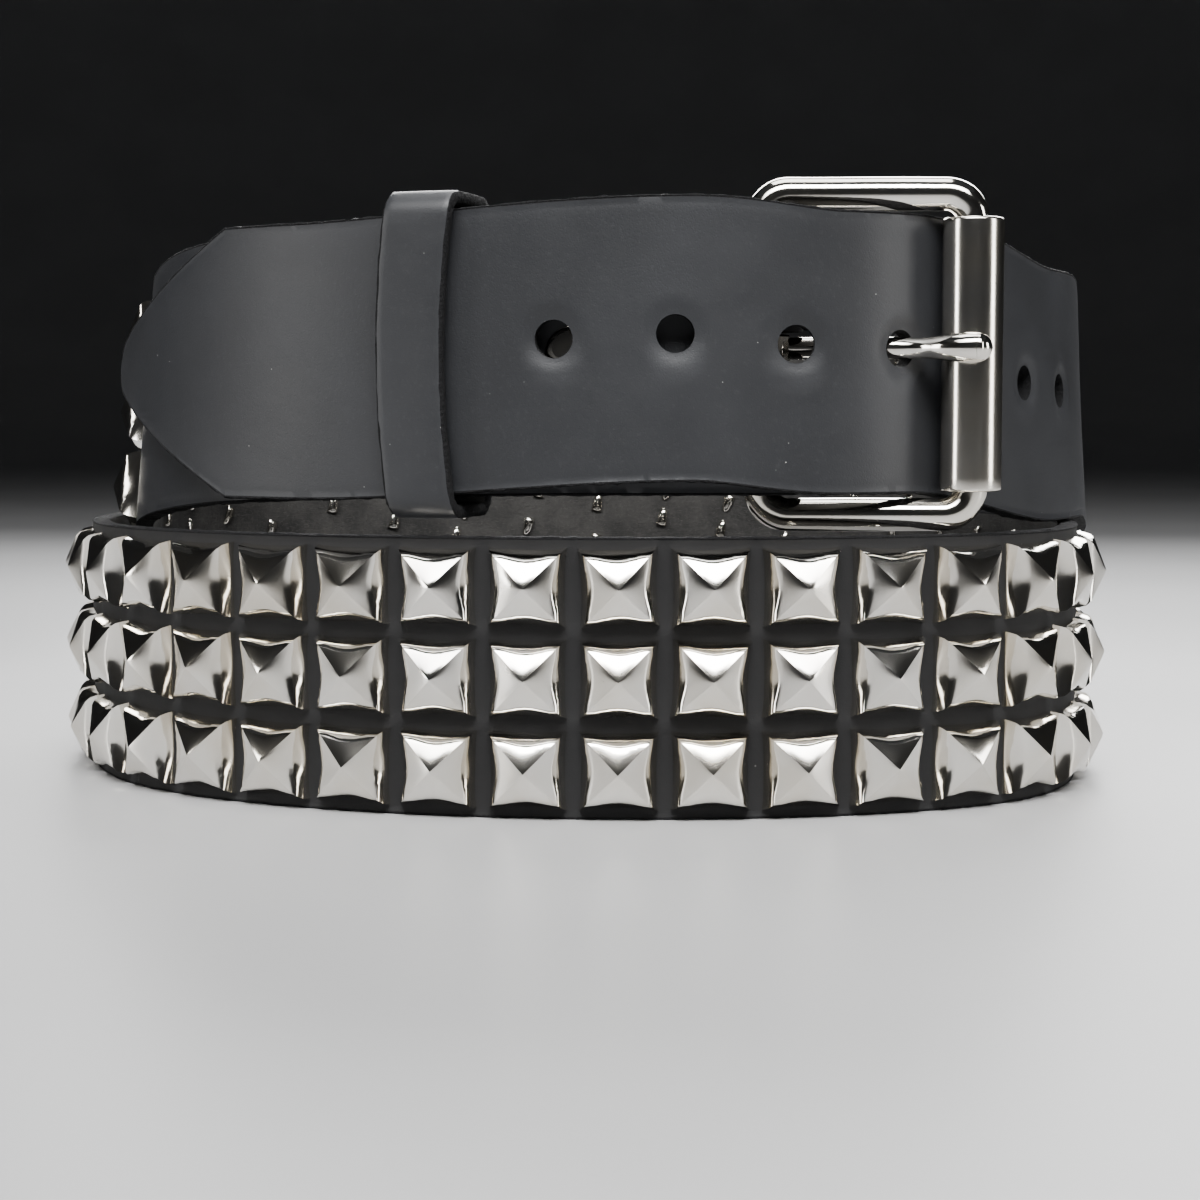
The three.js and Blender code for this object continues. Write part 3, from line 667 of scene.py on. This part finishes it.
def makeLegs():
    # the leg comes out of the leather, lies over it and goes back in
    line = np.array([(0, 0.4), (0, -0.25), (0.12, -0.52), (0.42, -0.66), (1.0, -0.66),
                     (legs["long"] * 0.7, -0.52), (legs["long"], -0.22), (legs["long"] + 0.25, 0.25)])
    normal = unit(np.stack([-np.gradient(line[:, 1]), np.gradient(line[:, 0])], -1))
    wide = legs["wide"] / 2 * np.array([1, 1, 1, 1, 0.98, 0.85, 0.6, 0.3])
    section = [(-1, -1), (0, -1.25), (1, -1), (1, 0), (1, 1), (0, 1.1), (-1, 1), (-1, 0)]
    rings = []
    for k, (p, nn) in enumerate(zip(line, normal)):
        deep = legs["thick"] / 2
        rings.append([(p[0] + nn[0] * b * deep, a * wide[k], p[1] + nn[1] * b * deep) for a, b in section])
    template = np.array(rings).reshape(-1, 3)
    template[:, 0] -= legs["apart"]
    faces = [list(q) for q in gridFaces(len(line), len(section), True)]
    middle, along, across, out = studFrames()
    places = []
    for i in range(studs["columns"]):
        bottom = placeAt(columnRuns[i])
        for row in (1, 0, -1):
            for side in (1, -1):
                lean = rng.normal(0, 0.12)
                y = unit(bottom[3][0] * side)
                x = unit(y + bottom[2][0] * lean)
                z = bottom[1][0]
                origin = bottom[0][0] - z * (thick + rng.normal(0, 0.05))
                origin = origin + bottom[3][0] * row * studs["pitch"] + bottom[2][0] * rng.normal(0, 0.4)
                places.append((origin, x, np.cross(z, x), z))
    setOnStrap("studLegs", template, faces, wireLook, places, np.zeros(len(places)), "studded_strap")


makeStuds()
makeLegs()
print("studs and their legs made")

# Buckle


def makeFrame():
    tall = (buckle["inner"] + 2 * buckle["wire"]) / 2
    halfReach, corner = buckle["reach"] / 2, buckle["corner"]
    line = []
    for cx, cz, start in ((1, 1, 0), (-1, 1, 90), (-1, -1, 180), (1, -1, 270)):
        for k in range(13):
            a = (start + k * 7.5) * deg
            line.append((cx * (halfReach - corner) + corner * math.cos(a),
                         cz * (tall - corner) + corner * math.sin(a)))
        nextX, nextZ = {0: (-1, 1), 90: (-1, -1), 180: (1, -1), 270: (1, 1)}[start]
        a = (start + 90) * deg
        end = (nextX * (halfReach - corner) + corner * math.cos(a),
               nextZ * (tall - corner) + corner * math.sin(a))
        first = line[-1]
        for t in np.arange(1, 10) / 10:
            line.append((first[0] + (end[0] - first[0]) * t, first[1] + (end[1] - first[1]) * t))
    line = np.array(line)
    tangent = unit(np.roll(line, -1, 0) - np.roll(line, 1, 0))
    side = np.stack([tangent[:, 1], -tangent[:, 0]], -1)
    a = np.arange(28) / 28 * 2 * math.pi
    centre = rearBar + (halfReach + line[:, :1]) * frameRight + line[:, 1:] * np.array([0, 0, 1.0])
    sideways = side[:, :1] * frameRight + side[:, 1:] * np.array([0, 0, 1.0])
    radius = buckle["wire"] * (1 - 0.012 * np.sin(np.arange(len(line)) * 0.7))[:, None, None]
    points = centre[:, None] + radius * (sideways[:, None] * np.cos(a)[None, :, None]
                                         + frameOut[None, None] * np.sin(a)[None, :, None])
    rows = len(line)
    faces = gridFaces(rows, 28, True).tolist()
    faces += [[(rows - 1) * 28 + j, (rows - 1) * 28 + (j + 1) % 28, (j + 1) % 28, j] for j in range(28)]
    makeMesh("frameWire", points.reshape(-1, 3), faces, [wireLook], node="buckle_frame")


def makeRoller():
    radius, inner, tall = roller["radius"], roller["radius"] - roller["wall"], roller["length"] / 2
    bend = 0.5
    profile = []
    for cr, cz, start in ((radius - bend, tall - bend, 0), (inner + bend, tall - bend, 90),
                          (inner + bend, -tall + bend, 180), (radius - bend, -tall + bend, 270)):
        for k in range(6):
            a = (start + k * 18) * deg
            profile.append((cr + bend * math.cos(a), cz + bend * math.sin(a)))
        if start in (90, 270):
            for t in (0.04, 0.2, 0.5, 0.8, 0.96):
                z = cz + (-2 * cz) * t
                profile.append((inner if start == 90 else radius - 0.04 * math.sin(math.pi * t), z))
    profile = np.array(profile)
    seam = 0.45 / radius / deg  # the tube is rolled from sheet and its two edges almost meet at the back
    points, count, whole = spin(profile, 96, np.array([0, 0, 1.0]), -frameOut, frameRight, frontBar,
                                360 - seam, seam / 2)
    ring = len(profile)
    faces = gridFaces(count, ring, True).tolist()
    faces += [list(range(ring))[::-1], [(count - 1) * ring + j for j in range(ring)]]
    piece = makeMesh("rollerTube", points, faces, [rollerLook], body="roller", node="buckle_roller")
    creaseSharp(piece, 50)


def makeProng():
    points, tangents = prongLine(10)
    right = (points - rearBar) @ frameRight
    end = buckle["reach"] + prong["past"]
    extra = np.linspace(right[-1] + 0.35, end - 0.02, 8)
    tail = points[-1] + (extra - right[-1])[:, None] * frameRight
    points = np.concatenate([points, tail])
    tangents = np.concatenate([tangents, np.repeat(frameRight[None], len(tail), 0)])
    right = np.concatenate([right, extra])
    bulb = ease(25.5, 32.5, right)
    waist = ease(20.5, 25.0, right) * (1 - ease(25.5, 29, right))
    close = np.sqrt(np.maximum(1 - share(end - 3.0, end, right) ** 2.2, 0.0008))
    deep = (prong["radius"] - 0.12 * waist + 0.45 * bulb) * close
    tall = (prong["radius"] - 0.12 * waist + 0.62 * bulb) * close
    points = points + frameOut * (0.42 * bulb)[:, None]
    upright = np.repeat(np.array([[0, 0, 1.0]]), len(points), 0)
    allPoints, faces = sweep(points, tangents, upright, np.stack([tall, deep], -1), 28)
    inner, wall, tallEye = buckle["wire"] + prong["seat"], prong["eyeWall"], prong["eye"] / 2
    bend = 0.45
    profile = []
    for cr, cz, start in ((inner + wall - bend, tallEye - bend, 0), (inner + bend, tallEye - bend, 90),
                          (inner + bend, -tallEye + bend, 180), (inner + wall - bend, -tallEye + bend, 270)):
        for k in range(5):
            a = (start + k * 22.5) * deg
            profile.append((cr + bend * math.cos(a), cz + bend * math.sin(a)))
    eye, count, whole = spin(profile, 48, np.array([0, 0, 1.0]), frameRight, frameOut,
                             rearBar + np.array([0, 0, prong["raise"]]))
    ring = len(profile)
    eyeFaces = gridFaces(count, ring, True, len(allPoints)).tolist()
    last = len(allPoints) + (count - 1) * ring
    eyeFaces += [[last + j, last + (j + 1) % ring, len(allPoints) + (j + 1) % ring, len(allPoints) + j]
                 for j in range(ring)]
    makeMesh("prongWire", np.concatenate([allPoints, eye]), faces + eyeFaces, [wireLook],
             node="buckle_prong")


def makeRivet(run, name, node):
    point, out, along, across = (v[0] for v in placeAt(run))
    grip = 2 * thick + float(foldGap(run))
    head, high = 4.5, 0.98
    dome = [(head * math.sin(a), high * (math.cos(a) ** 0.8) - 0.02) for a in np.linspace(0.03, 1.5, 12)]
    profile = [(r, z) for r, z in dome] + [(head, -0.02), (2.0, -0.02)]
    profile += [(2.0, -grip + 0.02), (head, -grip + 0.02)] + [(r, -grip - z) for r, z in dome[::-1]]
    points, count, whole = spin(profile, 40, out, along, across, point)
    ring = len(profile)
    faces = gridFaces(count, ring).tolist()
    last = (count - 1) * ring
    faces += [[last + j, last + j + 1, j + 1, j] for j in range(ring - 1)]
    faces += [[i * ring for i in range(count)], [i * ring + ring - 1 for i in range(count)][::-1]]
    piece = makeMesh(name, points, faces, [wireLook], node=node)
    creaseSharp(piece, 50)


makeFrame()
makeRoller()
makeProng()
makeRivet(fold["rivetRuns"][0], "rivetUpper", "rivet_1")
makeRivet(fold["rivetRuns"][1], "rivetLower", "rivet_2")
print("buckle made")

# Keeper

band = {"place": 53, "wide": 11.2, "thick": 2.2, "slack": 1.0, "corner": 1.8, "bow": 2.0, "round": 0.4}


def makeKeeper():
    under = placeAt(band["place"])
    overRuns = np.arange(prongRun, strapEnd, 0.25)
    over = placeAt(overRuns)
    offset = (over[0] - under[0]) * [1, 1, 0]
    pick = np.argmin(np.abs(offset @ under[2][0]))
    over = [v[pick] for v in over]
    under = [v[0] for v in under]
    layers = 2 * thick + strap["rest"] + float((over[0] - under[0]) @ under[1])
    top = max(over[0][2], under[0][2]) + half + band["slack"]
    bottom = min(over[0][2], under[0][2]) - half - band["slack"]
    deep, tall = layers / 2 + band["slack"], (top - bottom) / 2
    out = unit(over[1] * [1, 1, 0])
    along = np.cross(out, [0, 0, 1.0])
    middle = over[0] - out * layers / 2
    middle[2] = (top + bottom) / 2

    def outline(grow):  # a rounded rectangle, with the same places whatever it grows by
        line, radius = [], band["corner"] + grow
        d, t = deep - band["corner"], tall - band["corner"]
        for cx, cz, start in ((1, 1, 0), (-1, 1, 90), (-1, -1, 180), (1, -1, 270)):
            for k in range(9):
                a = (start + k * 11.25) * deg
                line.append((cx * d + radius * math.cos(a), cz * t + radius * math.sin(a)))
            steps = 26 if start in (90, 270) else 5
            ends = {0: (-d, t + radius), 90: (-d - radius, -t), 180: (d, -t - radius),
                    270: (d + radius, t)}[start]
            first = line[-1]
            for s in np.arange(1, steps) / steps:
                line.append((first[0] + (ends[0] - first[0]) * s, first[1] + (ends[1] - first[1]) * s))
        return np.array(line)

    w, b, t = band["wide"] / 2, band["round"], band["thick"]
    section = [(t - 0.10, -w + b), (t - 0.02, -w * 0.75), (t, -w * 0.4), (t, 0), (t, w * 0.4),
               (t - 0.02, w * 0.75), (t - 0.10, w - b), (t - b * 0.7, w - b * 0.25), (t * 0.5, w),
               (b * 0.7, w - b * 0.25), (0.02, w - b),
               (0, w * 0.4), (0, -w * 0.4), (0.02, -w + b), (b * 0.7, -w + b * 0.25), (t * 0.5, -w),
               (t - b * 0.7, -w + b * 0.25)]
    kinds = [0] * 6 + [1] * 4 + [2] * 3 + [1] * 4
    rings = []
    for k, (grow, side) in enumerate(section):
        line = outline(grow)
        share2 = (line[:, 1] / (tall + t)) ** 2
        front = ease(-0.5, 0.5, line[:, 0] / deep)
        shiftBy = side + front * band["bow"] * (1 - share2)
        if kinds[k] == 1 or kinds[k - 1] == 1:
            shiftBy = shiftBy + rng.normal(0, 0.07, len(line)) * (1 if abs(side) > w - b - 0.01 else 0.3)
            line = line + rng.normal(0, 0.03, line.shape)
        upBy = np.array([0, 0, 1.0]) * line[:, 1:]
        rings.append(middle + out * line[:, :1] + upBy + along * shiftBy[:, None])
    points = np.stack(rings, 1)
    count, ring = points.shape[:2]
    faces = gridFaces(count, ring, True).tolist()
    last = (count - 1) * ring
    faces += [[last + j, last + (j + 1) % ring, (j + 1) % ring, j] for j in range(ring)]
    lookOf = kinds * count
    piece = makeMesh("keeperBand", points.reshape(-1, 3), faces, [grainLook, edgeLook, fleshLook], lookOf,
                     node="keeper")
    layer = piece.data.attributes.new("worn", "FLOAT", "POINT")
    rubbed = np.zeros((count, ring))
    rubbed[:, :7] = 0.12 + 0.35 * ease(tall * 0.80, tall * 1.05, outline(0)[:, 1])[:, None]
    rubbed[:, [0, 6]] += 0.15
    layer.data.foreach_set("value", rubbed.reshape(-1).astype(np.float32))
    piece.data.attributes.new("paintedShadeAmongStuds", "FLOAT", "POINT")


makeKeeper()
print("keeper made")

# Floor, light and camera

stage = {"floor": (0.33, 0.33, 0.333, 1), "flat": 2600, "curve": 1300, "wall": 3900}


def makeFloor():  # pale paper that runs up into a wall on all sides, so that no horizon shows
    flat, curve = stage["flat"], stage["curve"]
    bend = np.linspace(0, 90, 14)[1:] * deg
    radii = np.concatenate([np.geomspace(60, flat, 14), flat + curve * np.sin(bend), [flat + curve]])
    rise = np.concatenate([np.zeros(14), curve * (1 - np.cos(bend)), [stage["wall"]]])
    a = np.arange(96) / 96 * 2 * math.pi
    points = [[0, 0, 0]] + [[r * math.cos(t), r * math.sin(t), z] for r, z in zip(radii, rise) for t in a]
    faces = [[0, 1 + j, 1 + (j + 1) % 96] for j in range(96)]
    faces += gridFaces(len(radii), 96, True, 1).tolist()
    look, shader, wire, place = startLook("paleFloor", {"Specular IOR Level": 0.35})
    cloud = place.noise(6, 3)
    feed(look, shader, Base_Color=cloud.ramp(0.3, 0.7).between(stage["floor"], (0.36, 0.36, 0.363, 1)),
         Roughness=0.40 + cloud * 0.12)
    mesh = bpy.data.meshes.new("floor")
    mesh.from_pydata((np.array(points) * mm).tolist(), [], faces)
    mesh.materials.append(look)
    mesh.polygons.foreach_set("use_smooth", np.ones(len(mesh.polygons), bool))
    floor = bpy.data.objects.new("floor", mesh)
    bpy.context.scene.collection.objects.link(floor)


def makeWorld():
    world = bpy.data.worlds.new("softRoom")
    bpy.context.scene.world = world
    world.use_nodes = True
    world.node_tree.nodes["Background"].inputs["Color"].default_value = (0.9, 0.94, 1.0, 1)
    world.node_tree.nodes["Background"].inputs["Strength"].default_value = 0.035


def addLight(name, place, target, size, power, tint=(1, 1, 1), spread=180):
    light = bpy.data.lights.new(name, "AREA")
    light.shape = "RECTANGLE"
    light.size, light.size_y = size
    light.energy = power
    light.color = tint
    light.spread = spread * deg
    lamp = bpy.data.objects.new(name, light)
    bpy.context.scene.collection.objects.link(lamp)
    lamp.location = place
    lamp.rotation_euler = (Vector(target) - Vector(place)).to_track_quat("-Z", "Y").to_euler()


def makeCamera():
    view = bpy.data.cameras.new("view")
    view.lens, view.sensor_width = 69, 36
    camera = bpy.data.objects.new("view", view)
    camera.location = (3.73 * mm, -437.93 * mm, 63.2 * mm)
    camera.rotation_euler = (85.45 * deg, 0, 0)
    bpy.context.scene.collection.objects.link(camera)
    bpy.context.scene.camera = camera


makeFloor()
makeWorld()
addLight("softFront", (0.0, -0.62, 0.76), (0, -0.05, 0.05), (1.25, 0.34), 7.5, spread=75)
addLight("softLeft", (-0.74, -0.34, 0.20), (0, 0, 0.06), (0.14, 0.4), 1.9, (1, 0.985, 0.96))
addLight("softRight", (0.78, -0.30, 0.20), (0, 0, 0.06), (0.18, 0.4), 2.2, (1, 0.985, 0.96))
addLight("softTop", (0.0, 0.12, 0.9), (0, 0, 0.05), (0.5, 0.5), 5)
addLight("softBack", (0.1, 0.85, 0.55), (0, 0, 0.06), (0.9, 0.45), 6, spread=90)
makeCamera()
print("stage made")
